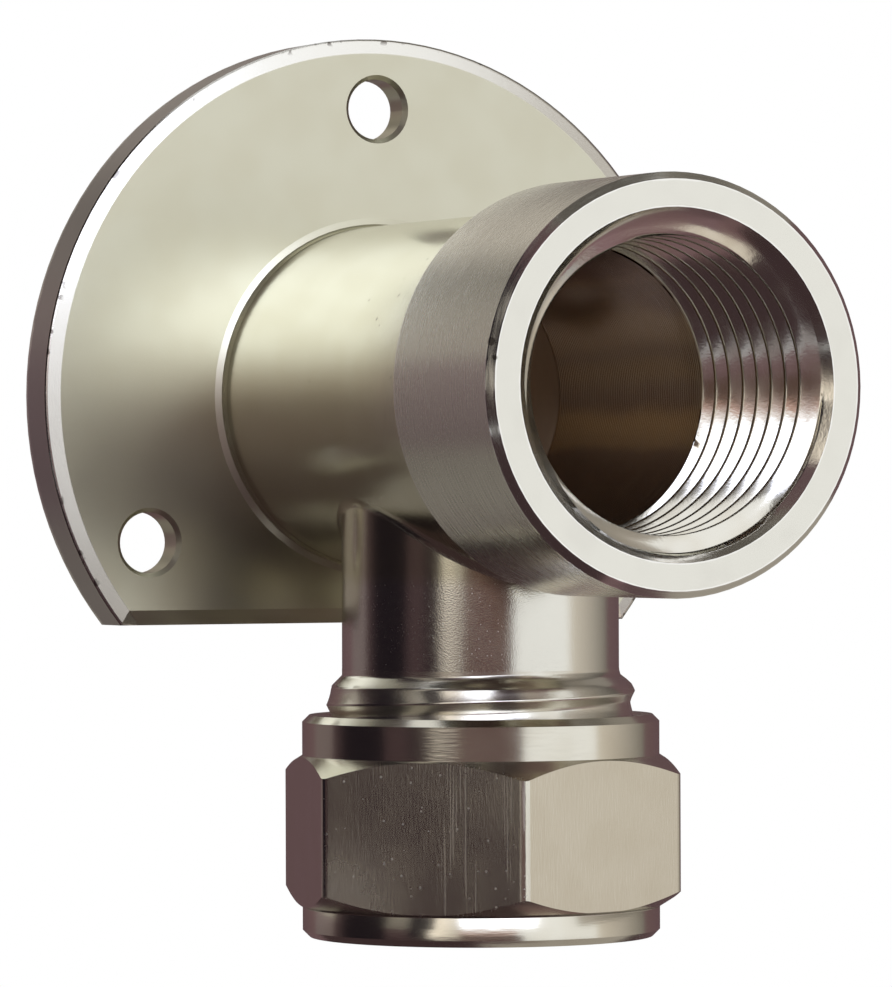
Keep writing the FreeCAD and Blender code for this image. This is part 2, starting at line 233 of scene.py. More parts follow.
@dataclass
class Effects:
    """The effects that finishes share, each built on its first use. Lengths are in millimetres."""

    cloud_scale: float = 0.18
    cloud_range: Pair = (0.3, 0.7)
    scratch_edge: float = 0.82
    scratch_width: float = 0.06
    speck_reach: Pair = (0.10, 0.22)
    speck_core: float = 0.05
    edge_reach: Pair = (0.1, 1.5)
    edge_core: float = 0.4
    knock_core: float = 0.5

    @cached_property
    def relief(self) -> ShaderGroup:
        """Make the fine relief of a surface: grain, or tool lines where one zone is stretched.

        Returns:
            The group, with one height of about 0.5.
        """
        group = ShaderGroup("fine_relief", "Height", Position=Kind.VECTOR, Grain=Kind.VECTOR, Lines=Kind.VECTOR,
                            Zone=Kind.VALUE)
        given = group.given
        stretch = group.steer(given["Zone"], given["Grain"], given["Lines"])
        return group.give(group.noise(group.stretch(given["Position"], stretch), rough=0.6))

    @cached_property
    def mottle(self) -> ShaderGroup:
        """Make the faint clouds of an uneven plate.

        Returns:
            The group, with one mask.
        """
        group = ShaderGroup("plate_mottle", "Mask", Position=Kind.VECTOR, Scale=Kind.VALUE)
        given = group.given
        place = group.vector("SCALE", given["Position"])
        group.feed(place.inputs["Scale"], given["Scale"])
        return group.give(group.step(group.noise(place.outputs[0], self.cloud_scale), *self.cloud_range))

    @cached_property
    def scratches(self) -> ShaderGroup:
        """Make thin scratches that run along the least scaled axis.

        Returns:
            The group, with one mask.
        """
        group = ShaderGroup("fine_scratches", "Mask", Position=Kind.VECTOR, Stretch=Kind.VECTOR, Share=Kind.VALUE)
        given = group.given
        lines = group.noise(group.stretch(given["Position"], given["Stretch"]), detail=0.0)
        edge = group.less(self.scratch_edge, given["Share"])
        return group.give(group.step(lines, edge, group.total(edge, self.scratch_width)))

    @cached_property
    def specks(self) -> ShaderGroup:
        """Make scattered small pits or dots.

        Returns:
            The group, with one mask.
        """
        group = ShaderGroup("small_pits", "Mask", Position=Kind.VECTOR, Scale=Kind.VALUE, Share=Kind.VALUE)
        given = group.given
        cells = group.node("ShaderNodeTexVoronoi", {"Vector": given["Position"], "Scale": given["Scale"]}).outputs
        chance, breadth, _ = group.node("ShaderNodeSeparateColor", {0: cells["Color"]}).outputs
        near = group.step(cells["Distance"], group.remap(breadth, *self.speck_reach), self.speck_core)
        return group.give(group.times(near, group.math("LESS_THAN", chance, given["Share"])))

    @cached_property
    def edge(self) -> ShaderGroup:
        """Make the line of wear and painted highlight along a round edge, broken up by small knocks.

        Returns:
            The group, with one mask.
        """
        values = dict.fromkeys(("Radius", "Travel", "EdgeRadius", "EdgeTravel", "Width", "Uneven"), Kind.VALUE)
        group = ShaderGroup("worn_edge_highlight", "Mask", **values)
        given = group.given
        far = group.hypotenuse(group.less(given["Radius"], given["EdgeRadius"]),
                               group.less(given["Travel"], given["EdgeTravel"]))
        reach = group.times(given["Width"], group.remap(given["Uneven"], *self.edge_reach))
        return group.give(group.step(far, reach, group.times(reach, self.edge_core)))

    @cached_property
    def knock(self) -> ShaderGroup:
        """Make one small knock at a place.

        Returns:
            The group, with one mask.
        """
        group = ShaderGroup("small_knock", "Mask", Position=Kind.VECTOR, Centre=Kind.VECTOR, Size=Kind.VALUE)
        given = group.given
        far = group.vector("DISTANCE", given["Position"], given["Centre"]).outputs["Value"]
        return group.give(group.step(far, given["Size"], group.times(given["Size"], self.knock_core)))


@dataclass(frozen=True)
class Sizes:
    """Sizes in millimetres that the finishes and threads are placed by."""

    face: float
    plate_radius: float
    socket_root: float
    neck_axis: float
    neck_end: float
    plate_front: float = -3.6
    collar_back: float = -33.25
    collar_radius: float = 13.25
    bore_radius: float = 9.3
    mouth_radius: float = 11.05
    rim_bevel: float = 1.0
    edge_bevel: float = 0.45
    thread_depth: float = 14.0
    neck_radius: float = 9.15
    neck_thread: float = 9.85
    thread_start: float = -18.6
    neck_top: float = -11.6
    bore_end: float = -12.5
    nut_foot: float = -35.8

    @classmethod
    def from_frame(cls) -> "Sizes":
        """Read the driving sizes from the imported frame.

        Returns:
            The sizes.
        """
        low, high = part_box("elbow_body")
        mounts = {mount["name"]: mount for mount in frame["record"]["mounts"]}
        hinge = next(joint for joint in frame["joints"] if joint["name"] == "nut_turn")
        return cls(face=low.y / MM, plate_radius=high.x / MM, socket_root=mounts["socket"]["dims"]["r_mm"],
                   neck_axis=hinge["pos_m"][1] / MM, neck_end=low.z / MM)


class Metal(Graph):
    """The graph of a material with a metallic shader. Its position is the piece's own, in millimetres."""

    def __init__(self, name: str) -> None:
        """Make the material.

        Args:
            name: the material's name.
        """
        self.material = new_material(name)
        super().__init__(self.material.node_tree)
        self.shader = self.tree.nodes["Principled BSDF"]
        self.shader.inputs["Metallic"].default_value = 1.0
        self.position = self.stretch(self.node("ShaderNodeTexCoord").outputs["Object"], (1.0 / MM,) * 3)

    def finish(self, colour: Socket, rough: Socket, height: Socket, normal: Optional[Socket] = None) -> Material:
        """Connect a finish to the shader.

        Args:
            colour: the base colour.
            rough: the roughness.
            height: relief in millimetres.
            normal: the normal that the relief starts from, if it isn't the surface's own.

        Returns:
            The finished material.
        """
        bump = self.node("ShaderNodeBump", {"Height": height, "Distance": MM, "Strength": 1.0})
        if normal is not None:
            self.feed(bump.inputs["Normal"], normal)
        for label, value in (("Base Color", colour), ("Roughness", rough), ("Normal", bump.outputs["Normal"])):
            self.feed(self.shader.inputs[label], value)
        return self.material


def new_material(name: str) -> Material:
    """Make a material with nodes and return it.

    Args:
        name: the material's name.

    Returns:
        The material.
    """
    material = bpy.data.materials.new(name)
    material.use_nodes = True
    return material


@dataclass
class ForgingZones:
    """The forging's zones and marks, as masks in its material's tree. Lengths are in millimetres."""

    graph: Metal
    effects: Effects
    sizes: Sizes
    neck_reach: Pair = (1.2, 0.4)
    neck_fade: float = 1.5
    round_width: float = 0.8
    round_slope: float = 0.23
    nick_width: float = 0.5
    nick_scale: float = 1.3
    nick_pull: float = 0.08
    nick_range: Pair = (0.7, 0.76)
    dent_scale: float = 1.1
    dent_share: float = 0.2
    dent_length: Quad = (-31.5, -30.0, -17.0, -14.0)
    dent_side: Pair = (-3.0, -5.0)
    dent_height: Pair = (-0.5, 1.0)
    pit_scale: float = 4.5
    pit_share: float = 0.6
    pit_side: Pair = (1.0, -1.5)
    wander: float = 1.0
    wander_stretch: Triple = (0.2, 0.12, 0.2)
    # heights of the two bands of painted reflection in the bore
    main_reflection_band: Quad = (-4.2, -3.2, -1.8, -0.4)
    upper_reflection_band: Quad = (2.2, 3.6, 4.4, 6.0)
    upper_reflection_share: float = 0.6
    uneven_scale: float = 0.9
    knocks: tuple[Quad, ...] = ((-12.9, -46.2, 2.6, 0.35), (-12.75, -46.4, 1.6, 0.22))

    def __post_init__(self) -> None:
        """Read the shaded place, and mark the zones that several looks share."""
        graph, size = self.graph, self.sizes
        self.position: Socket = graph.position
        self.x, self.y, self.z = graph.parts(self.position)
        self.radius: Socket = graph.hypotenuse(self.x, self.z)
        outside = graph.border(self.radius, size.mouth_radius, -4.0, -1.0)
        self.collar: Socket = graph.times(graph.border(self.y, size.collar_back, 1.0, -1.0), outside)
        self.face: Socket = graph.times(graph.border(self.y, size.face, 6.0, 5.0), outside)
        self.bore: Socket = graph.times(graph.border(self.radius, size.socket_root, 0.5, -0.5),
                                        graph.border(self.y, size.plate_front, 0.0, -1.0),
                                        graph.border(self.z, -size.bore_radius, -8.0, -6.0))
        self.drilled: Socket = graph.times(self.bore, graph.border(self.y, size.bore_end, -1.0, 0.0))
        self.turned: Socket = graph.most(self.collar, self.bore)
        away = graph.hypotenuse(self.x, graph.less(self.y, size.neck_axis))
        near = graph.step(away, *(size.neck_thread + reach for reach in self.neck_reach))
        self.neck: Socket = graph.times(near, graph.step(self.z, size.neck_top, size.neck_top - self.neck_fade))
        inner = size.plate_radius - size.rim_bevel
        self.bevel: Socket = graph.times(graph.border(self.radius, inner, -0.5, 0.5),
                                         graph.border(self.y, size.plate_front, 5.0, 4.2))
        self.rim_side: Socket = graph.times(graph.border(self.radius, size.plate_radius, -1.2, -0.6),
                                            graph.border(self.y, size.plate_front, 3.5, 6.0))
        dots = self.effects.specks.place(graph, Position=self.position, Scale=self.pit_scale, Share=self.pit_share)
        self.pits: Socket = graph.times(self.neck, dots, graph.step(self.x, *self.pit_side))

    def painted_reflection_bands(self) -> Socket:
        """Mark two bands along the bore where a brass-coloured reflection is painted over the thin plate.

        Returns:
            The mask.
        """
        graph = self.graph
        place = graph.stretch(self.position, self.wander_stretch)
        level = graph.total(self.z, graph.remap(graph.noise(place), -self.wander, self.wander))
        return graph.most(graph.band(level, *self.main_reflection_band),
                          graph.times(graph.band(level, *self.upper_reflection_band), self.upper_reflection_share))

    def bore_normal(self, marks: float, lean: float) -> Socket:
        """Point the bore's normals at its axis and lean them to and fro over the boring tool's feed marks.

        Args:
            marks: feed marks per millimetre.
            lean: how far the normals lean, as a slope.

        Returns:
            The surface's own normal, or that of the feed marks on the bore's wall.
        """
        graph, wall = self.graph, self.sizes.bore_radius
        mask = graph.times(graph.border(self.radius, wall, 2.0, 1.0), graph.border(self.radius, wall, -2.5, -1.5),
                           graph.less(self.bore, self.drilled))
        inward = graph.math("DIVIDE", -1.0, self.radius)
        swing = graph.math("SINE", graph.times(self.y, math.tau * marks))
        marked = graph.node("ShaderNodeCombineXYZ", {0: graph.times(self.x, inward), 1: graph.times(swing, lean),
                                                     2: graph.times(self.z, inward)}).outputs[0]
        marked = graph.node("ShaderNodeVectorTransform", {0: marked}, vector_type="NORMAL", convert_from="OBJECT",
                            convert_to="WORLD").outputs[0]
        return graph.steer(mask, graph.node("ShaderNodeNewGeometry").outputs["Normal"], marked)

    def rim_round(self) -> Socket:
        """Round the bevel of the plate's rim.

        Returns:
            The relief in millimetres.
        """
        graph, size = self.graph, self.sizes
        across = graph.less(self.radius, size.plate_radius - size.rim_bevel)
        across = graph.math("MINIMUM", graph.most(across, 0.0), self.round_width)
        front = graph.border(self.y, size.plate_front, 4.5, 3.5)
        return graph.times(front, across, self.round_slope)

    def marks(self) -> Socket:
        """Gather the dark marks: nicks in the rim, dents on the tube's upper left and the knocks.

        Returns:
            The mask.
        """
        graph = self.graph
        edge = self.sizes.plate_radius
        outer = graph.step(self.radius, edge - self.nick_width, edge - SOFT)
        chance = graph.total(graph.noise(self.position, self.nick_scale), graph.times(outer, self.nick_pull))
        nicks = graph.times(self.bevel, outer, graph.step(chance, *self.nick_range))
        dents = self.effects.specks.place(graph, Position=self.position, Scale=self.dent_scale,
                                          Share=self.dent_share)
        dents = graph.times(dents, graph.band(self.y, *self.dent_length), graph.step(self.x, *self.dent_side),
                            graph.step(self.z, *self.dent_height))
        spots = (self.effects.knock.place(graph, Position=self.position, Centre=tuple(centre), Size=reach)
                 for *centre, reach in self.knocks)
        return graph.most(nicks, dents, *spots)

    def rubbed(self) -> Socket:
        """Gather the rubbed edges of the plate and of the socket, and the rim's bevel, where wear and a painted
        highlight are laid.

        Returns:
            The mask.
        """
        graph, size = self.graph, self.sizes
        uneven = graph.noise(self.position, self.uneven_scale)
        # Radius, travel and width of each edge
        edges = [
            (size.plate_radius, 0.0, 0.5),
            (size.collar_radius, size.face + size.edge_bevel, 0.16),
            (size.collar_radius - size.edge_bevel, size.face, 0.16),
            (size.mouth_radius, size.face, 0.14),
            (size.collar_radius, size.collar_back, 0.12),
        ]
        masks = (self.effects.edge.place(graph, Radius=self.radius, Travel=self.y, EdgeRadius=radius,
                                         EdgeTravel=travel, Width=width, Uneven=uneven)
                 for radius, travel, width in edges)
        return graph.most(self.bevel, *masks)


@dataclass(frozen=True)
class PlatedForging:
    """Nickel plate over a forging that is blasted outside and turned at its socket and neck."""

    sizes: Sizes
    blasted: Colour = (0.66, 0.645, 0.52)
    stained: Colour = (0.645, 0.625, 0.495)
    machined: Colour = (0.775, 0.765, 0.70)
    # the brass colour of the painted reflection bands in the bore
    brass_reflection_colour: Colour = (0.97, 0.80, 0.55)
    thin_plate: Colour = (0.62, 0.52, 0.45)
    # the lighter colour of worn plate and of the painted highlight along the edges and over the rim's bevel
    worn_highlight_colour: Colour = (0.90, 0.89, 0.85)
    worn_highlight_share: float = 0.9
    # a darker colour laid over the nicks, dents and knocks
    mark_darkening: Colour = (0.10, 0.075, 0.06)
    mark_darkening_share: float = 0.75
    drilled_end: Colour = (0.28, 0.20, 0.13)
    rim_side: Colour = (0.52, 0.485, 0.48)
    plate_roughness: float = 0.29
    tube_roughness: float = 0.19
    collar_roughness: float = 0.24
    face_roughness: float = 0.15
    neck_roughness: float = 0.17
    bore_roughness: float = 0.16
    mottle_gain: float = 0.01
    drilled_gain: float = 0.3
    pit_gain: float = 0.22
    streak_gain: float = 0.05
    worn_gain: float = -0.06
    mottle_scale: float = 1.6
    grain: Triple = (11.0, 11.0, 11.0)
    tool_lines: Triple = (0.4, 6.0, 0.4)
    streak_range: Pair = (0.45, 0.7)
    streak_cover: Pair = (1.0, 0.85)
    blasted_depth: float = 0.0025
    face_depth: float = 0.0007
    neck_depth: float = 0.0065
    turned_depth: float = 0.0035
    feed_marks: float = 4.0
    feed_lean: float = 0.68

    def build(self, effects: Effects) -> Material:
        """Make the material.

        Args:
            effects: the shared effects.

        Returns:
            The finished material.
        """
        graph = Metal("plated_forging_finish")
        zones = ForgingZones(graph, effects, self.sizes)
        relief = effects.relief.place(graph, Position=zones.position, Grain=self.grain, Lines=self.tool_lines,
                                      Zone=zones.turned)
        mottle = effects.mottle.place(graph, Position=zones.position, Scale=self.mottle_scale)
        streak = graph.times(zones.turned, graph.step(relief, *self.streak_range))
        # the edges and the rim's bevel, partly worn and partly a painted highlight
        rubbed = zones.rubbed()

        colour = graph.tint(mottle, self.blasted, self.stained)
        # the bore's thin-plate tone, with two painted bands of brass-coloured reflection
        inside = graph.tint(zones.painted_reflection_bands(), self.thin_plate, self.brass_reflection_colour)
        # worn edges and the rim's bevel get a lighter colour that is partly wear and partly a painted highlight
        for mask, tone in ((graph.most(zones.turned, zones.neck), self.machined),
                           (graph.times(zones.bore, graph.remap(streak, *self.streak_cover)), inside),
                           (zones.drilled, self.drilled_end), (zones.rim_side, self.rim_side),
                           (graph.times(rubbed, self.worn_highlight_share), self.worn_highlight_colour),
                           (graph.times(zones.marks(), self.mark_darkening_share), self.mark_darkening)):
            colour = graph.tint(mask, colour, tone)
        root = graph.border(zones.y, self.sizes.plate_front, -9.0, -1.0)
        rough = graph.blend(root, self.tube_roughness, self.plate_roughness)
        for mask, level in ((zones.collar, self.collar_roughness), (zones.face, self.face_roughness),
                            (zones.neck, self.neck_roughness), (zones.bore, self.bore_roughness)):
            rough = graph.blend(mask, rough, level)
        rough = graph.total(rough, graph.remap(mottle, -self.mottle_gain, self.mottle_gain),
                            graph.times(zones.drilled, self.drilled_gain), graph.times(zones.pits, self.pit_gain),
                            graph.times(streak, self.streak_gain), graph.times(rubbed, self.worn_gain))
        depth = graph.blend(zones.face, self.blasted_depth, self.face_depth)
        depth = graph.blend(zones.turned, graph.blend(zones.neck, depth, self.neck_depth), self.turned_depth)
        height = graph.total(graph.times(relief, depth), zones.rim_round())
        return graph.finish(colour, rough, height, zones.bore_normal(self.feed_marks, self.feed_lean))


@dataclass(frozen=True)
class CutMetal:
    """Bright metal with faint clouds, as a cutting tool leaves it. Its own values are those of plate in a thread."""

    name: str
    clean: Colour = (0.80, 0.785, 0.72)
    cloudy: Colour = (0.70, 0.65, 0.54)
    cloud_share: float = 0.5
    roughness: Pair = (0.12, 0.20)
    rough_lines: bool = False
    mottle_scale: float = 2.5
    grain: Triple = (5.0, 5.0, 5.0)
    depth: float = 0.003

    def build(self, effects: Effects) -> Material:
        """Make the material.

        Args:
            effects: the shared effects.

        Returns:
            The finished material.
        """
        graph = Metal(self.name)
        position = graph.position
        mottle = effects.mottle.place(graph, Position=position, Scale=self.mottle_scale)
        relief = effects.relief.place(graph, Position=position, Grain=self.grain)
        colour = graph.tint(graph.times(mottle, self.cloud_share), self.clean, self.cloudy)
        rough = graph.remap(relief if self.rough_lines else mottle, *self.roughness)
        return graph.finish(colour, rough, graph.times(relief, self.depth))


@dataclass(frozen=True)
class PlatedNut:
    """Nickel plate over a nut turned from drawn hexagon bar. One of its flats is rubbed. Lengths are in millimetres."""

    sizes: Sizes
    plate: Colour = (0.77, 0.75, 0.665)
    warm: Colour = (0.73, 0.70, 0.60)
    warm_share: float = 0.6
    bright: Colour = (0.90, 0.89, 0.85)
    bright_share: float = 0.6
    rubbed_side: Triple = (-0.703, -0.711, 0.0)
    rubbed_along: Triple = (0.711, -0.703, 0.0)
    collar_reach: float = 11.86
    collar_height: float = 2.0
    crown_place: float = 0.4
    crown_bend: float = 0.09
    roughness: float = 0.18
    mottle_gain: float = 0.012
    mark_gain: float = 0.35
    dull_gain: Pair = (0.06, 0.2)
    mottle_scale: float = 2.2
    tool_lines: Triple = (0.7, 0.7, 6.0)
    bar_lines: Triple = (8.0, 8.0, 1.2)
    depth: float = 0.004
    scratch_stretch: Triple = (7.0, 7.0, 0.12)
    scratch_share: float = 0.14
    scratch_strength: float = 0.3
    scratch_fade: Pair = (-0.5, 2.5)
    dull_side: Pair = (1.0, -6.0)
    dull_height: Pair = (9.0, 3.0)
    dot_scale: float = 2.2
    dot_share: float = 0.4

    def build(self, effects: Effects) -> Material:
        """Make the material.

        Args:
            effects: the shared effects.

        Returns:
            The finished material.
        """
        graph = Metal("plated_nut_finish")
        foot, axis = self.sizes.nut_foot, self.sizes.neck_axis
        position = graph.position
        x, y, z = graph.parts(position)
        bar = graph.border(graph.hypotenuse(x, graph.less(y, axis)), self.collar_reach, 0.0, 0.6)
        away = graph.vector("SUBTRACT", position, (0.0, axis, 0.0)).outputs[0]
        reach, along = (graph.vector("DOT_PRODUCT", away, way).outputs["Value"]
                        for way in (self.rubbed_side, self.rubbed_along))
        side = graph.times(bar, graph.border(reach, self.collar_reach, -3.5, -0.5))
        mottle = effects.mottle.place(graph, Position=position, Scale=self.mottle_scale)
        relief = effects.relief.place(graph, Position=position, Grain=self.tool_lines, Lines=self.bar_lines,
                                      Zone=bar)
        drawn = effects.scratches.place(graph, Position=position, Stretch=self.scratch_stretch,
                                        Share=self.scratch_share)
        drawn = graph.times(drawn, graph.step(along, *self.scratch_fade), self.scratch_strength)
        dots = effects.specks.place(graph, Position=position, Scale=self.dot_scale, Share=self.dot_share)
        marks = graph.times(side, graph.most(drawn, dots))
        low = graph.step(z, *(foot + height for height in self.dull_height))
        dull = graph.times(side, graph.step(along, *self.dull_side), low)

        colour = graph.tint(graph.times(mottle, self.warm_share), self.plate, self.warm)
        colour = graph.tint(graph.times(marks, self.bright_share), colour, self.bright)
        rough = graph.total(self.roughness, graph.remap(mottle, -self.mottle_gain, self.mottle_gain),
                            graph.times(marks, self.mark_gain),
                            graph.times(dull, graph.remap(relief, *self.dull_gain)))
        height = graph.total(graph.times(relief, self.depth), self._crown(graph, z))
        return graph.finish(colour, rough, height)

    def _crown(self, graph: Graph, z: Socket) -> Socket:
        """Crown the lower collar slightly.

        Args:
            graph: the material's tree.
            z: height.

        Returns:
            The relief in millimetres.
        """
        above = graph.less(z, self.sizes.nut_foot + self.crown_place)
        top = self.sizes.nut_foot + self.collar_height
        return graph.times(graph.border(z, top, 1.0, -1.0), above, above, -self.crown_bend)


def link(piece: Object) -> Object:
    """Put an object into the scene and return it."""
    bpy.context.scene.collection.objects.link(piece)
    return piece


def add_mesh(name: str, mesh: bmesh.types.BMesh) -> Object:
    """Make an object of a finished mesh.

    Args:
        name: the object's name.
        mesh: the mesh, which is freed.

    Returns:
        The new object, in the scene.
    """
    data = bpy.data.meshes.new(name)
    mesh.to_mesh(data)
    mesh.free()
    return link(bpy.data.objects.new(name, data))


def paint(piece: Object, material: Material) -> None:
    """Give a piece one material and report it.

    Args:
        piece: the CAD object or the added piece.
        material: what it wears.
    """
    piece.data.materials.clear()
    piece.data.materials.append(material)
    LOG.info("%s wears %s", piece.name, material.name)


@dataclass(frozen=True)
class Helix:
    """A thread's surface, wound about an axis. Lengths are in millimetres.

    A vertex stands at a turn and at a share of one pitch across the ridge, so that its rows follow the ridge.
    """

    origin: Vector
    axis: Vector
    start_side: Vector
    pitch: float
    start: float
    end: float
    radius_at: Callable[[float, float, float], float]
    inward: bool
    steps: int = 120
    weld: float = 0.002
    shares: tuple[float, ...] = (0.0, 0.06, 0.09, 0.25, 0.41, 0.44, 0.5, 0.56, 0.59, 0.75, 0.91, 0.94, 1.0)

    def build(self, name: str) -> Object:
        """Wind the surface.

        Args:
            name: the object's name.

        Returns:
            The new object, in place.
        """
        mesh = bmesh.new()
        count = math.ceil(((self.end - self.start) / self.pitch + 1.0) * self.steps)
        rows = [[mesh.verts.new(self._point(step, across)) for across in self.shares] for step in range(count + 1)]
        for first, second in zip(rows, rows[1:]):
            for sample in range(len(self.shares) - 1):
                corners = [first[sample], first[sample + 1], second[sample + 1], second[sample]]
                mesh.faces.new(reversed(corners) if self.inward else corners)
        bmesh.ops.remove_doubles(mesh, verts=mesh.verts, dist=self.weld * MM)
        bmesh.ops.dissolve_degenerate(mesh, edges=mesh.edges, dist=self.weld * MM)
        for face in mesh.faces:
            face.smooth = True
        return add_mesh(name, mesh)

    def _point(self, step: int, across: float) -> Vector:
        """Give a vertex in metres.

        Args:
            step: steps round from the start.
            across: the share of one pitch across the ridge.

        Returns:
            The vertex's place.
        """
        turn = step / self.steps
        depth = self.start + self.pitch * (turn + across - 1.0)
        depth = min(max(depth, self.start), self.end)
        angle = math.tau * turn
        side = self.axis.cross(self.start_side)
        radial = self.start_side * math.cos(angle) + side * math.sin(angle)
        return (self.origin + self.axis * depth + radial * self.radius_at(depth, across, turn)) * MM


def ridge(across: float, flat: float = 0.07) -> float:
    """Give a thread's height across one pitch: 1 on the crest in the middle and 0 on the roots, each with a flat."""
    return min(max((0.5 - flat - abs(across - 0.5)) / (0.5 - flat - flat), 0.0), 1.0)


@dataclass
class Elbow:
    """The forged body with its two threads."""

    sizes: Sizes
    pitch: float = 1.814
    socket_crest: float = 9.32
    neck_crest: float = 10.2
    neck_flare: float = 1.5
    neck_flank: float = 0.7
    film: float = 0.01
    socket_lead: float = 2.0
    neck_first_turn: float = 18.17
    neck_fade: Pair = (1.1, 0.2)
    neck_spare: float = 0.5
    neck_roughness: Pair = (0.19, 0.27)

    def build(self) -> list[Object]:
        """Cut both threads and let them ride on the body.

        Returns:
            The socket's thread and the neck's.
        """
        pieces = [self._socket_thread(), self._neck_thread()]
        for piece in pieces:
            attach(piece, Body.ELBOW.value)
            LOG.info("%s has %d faces", piece.name, len(piece.data.polygons))
        return pieces

    def dress(self, threads: list[Object], effects: Effects) -> None:
        """Give the body and its threads their finishes.

        Args:
            threads: the thread pieces.
            effects: the shared effects.
        """
        paint(frame["nodes"][Node.ELBOW.value], PlatedForging(self.sizes).build(effects))
        socket_thread, neck_thread = threads
        paint(socket_thread, CutMetal("socket_thread_finish").build(effects))
        paint(neck_thread, CutMetal("neck_thread_finish", roughness=self.neck_roughness).build(effects))

    def _socket_thread(self) -> Object:
        """Cut the female thread of the socket, with its first turns cut back by the mouth's bevel.

        Returns:
            The thread, in place.
        """
        size = self.sizes
        root = size.socket_root - self.film

        def radius_at(depth: float, across: float, turn: float) -> float:
            """Give the thread's radius, no smaller than the bevelled mouth leaves.

            Args:
                depth: how far inside the mouth.
                across: the share of one pitch across the ridge.
                turn: turns from the start, not used here.

            Returns:
                The radius.
            """
            wave = root - (root - self.socket_crest) * ridge(across)
            inside = max(depth - (size.mouth_radius - size.socket_root), 0.0)
            return max(wave, size.mouth_radius - self.film - depth - self.socket_lead * inside)

        return Helix(origin=Vector((0.0, size.face, 0.0)), axis=Vector((0.0, 1.0, 0.0)),
                     start_side=Vector((0.0, 0.0, 1.0)), pitch=self.pitch, start=0.0,
                     end=size.thread_depth - self.film, radius_at=radius_at, inward=True).build("socket_thread")

    def _neck_thread(self) -> Object:
        """Cut the male thread of the neck, which fades in above the nut.

        Returns:
            The thread, in place.
        """
        size = self.sizes

        def fade(turn: float) -> float:
            """Give how far the ridge has grown at a turn."""
            start, length = self.neck_fade
            return min(max((turn - start) / length, 0.0), 1.0)

        def radius_at(depth: float, across: float, turn: float) -> float:
            """Give the thread's radius: the neck's own and the two nearest ridges on it.

            Args:
                depth: how far down the neck.
                across: the share of one pitch across the ridge, not used here.
                turn: turns from the start.

            Returns:
                The radius.
            """
            rise = min(max(depth + size.thread_start, 0.0), size.neck_thread - size.neck_radius)
            base = size.neck_radius + rise + self.film
            crest_depth = self.neck_first_turn + self.pitch * (turn - 0.5)
            lift = 0.0
            for below in (0, 1):
                above = crest_depth + below * self.pitch - depth
                slope = 1.0 - (above / self.neck_flare if above > 0.0 else -above / self.neck_flank)
                slope = min(max(slope, 0.0), 1.0)
                lift = max(lift, (slope ** 2 if above > 0.0 else slope) * fade(turn + below))
            return base + (self.neck_crest - base) * lift

        return Helix(origin=Vector((0.0, size.neck_axis, 0.0)), axis=Vector((0.0, 0.0, -1.0)),
                     start_side=Vector((0.0, 1.0, 0.0)), pitch=self.pitch, start=self.neck_first_turn,
                     end=-size.neck_end - self.neck_spare, radius_at=radius_at, inward=False).build("neck_thread")


@dataclass
class CompressionJoint:
    """The plated nut and the bare brass sealing ring on the neck."""

    sizes: Sizes
    brass: CutMetal = CutMetal("bare_brass_finish", clean=(0.80, 0.60, 0.30), cloudy=(0.62, 0.44, 0.22),
                               cloud_share=1.0, roughness=(0.26, 0.36), rough_lines=True, mottle_scale=2.0,
                               grain=(0.7, 0.7, 6.0), depth=0.008)

    def dress(self, effects: Effects) -> None:
        """Give the nut and the ring their finishes."""
        paint(frame["nodes"][Node.NUT.value], PlatedNut(self.sizes).build(effects))
        paint(frame["nodes"][Node.OLIVE.value], self.brass.build(effects))


def warm(level: float) -> Colour:
    """Give the colour of a warm grey card of a brightness."""
    return (1.1 * level, level, 0.88 * level)


def umber(level: float) -> Colour:
    """Give the colour of a dark red-brown card of a brightness."""
    return (1.62 * level, level, 1.08 * level)


def direction(turn: float, rise: float) -> Vector:
    """Give the unit vector at a turn from +X towards +Y and a rise upwards, in degrees."""
    turn, rise = math.radians(turn), math.radians(rise)
    return Vector((math.cos(rise) * math.cos(turn), math.cos(rise) * math.sin(turn), math.sin(rise)))


@dataclass(frozen=True)
class Card:
    """A card round the object that only reflections see. Angles are in degrees, as in a direction.

    Its colour runs from first to last round the turn, if there is a last, and is multiplied towards its top by the
    lift.
    """

    name: str
    turn: Pair
    rise: Pair
    first: Colour
    last: Optional[Colour] = None
    lift: float = 1.0
    distance: float = 1.2
    columns: int = 12
    rows: int = 8

    def build(self, material: Material) -> None:
        """Hang the card round the object.

        Args:
            material: the material that shows each vertex's own shade.
        """
        mesh = bmesh.new()
        shade = mesh.verts.layers.float_color.new("shade")
        grid = [[self._vertex(mesh, shade, column / self.columns, row / self.rows) for row in range(self.rows + 1)]
                for column in range(self.columns + 1)]
        for first, second in zip(grid, grid[1:]):
            for row in range(self.rows):
                mesh.faces.new([first[row], second[row], second[row + 1], first[row + 1]])
        bmesh.ops.remove_doubles(mesh, verts=mesh.verts, dist=MM)
        card = add_mesh(f"{self.name}_card", mesh)
        card.data.materials.append(material)
        card.visible_camera = card.visible_diffuse = card.visible_shadow = False
        LOG.info("card %s", card.name)

    def _vertex(self, mesh: bmesh.types.BMesh, shade: object, across: float, up: float) -> bmesh.types.BMVert:
        """Add one vertex with its shade.

        Args:
            mesh: the card's mesh.
            shade: the mesh's colour layer.
            across: the share of the turn.
            up: the share of the rise.

        Returns:
            The vertex.
        """
        turn, rise = (low + share * (high - low) for (low, high), share in ((self.turn, across), (self.rise, up)))
        vertex = mesh.verts.new(direction(turn, rise) * self.distance)
        gain = 1.0 + up * (self.lift - 1.0)
        vertex[shade] = (*(gain * (a + across * (b - a)) for a, b in zip(self.first, self.last or self.first)), 1.0)
        return vertex


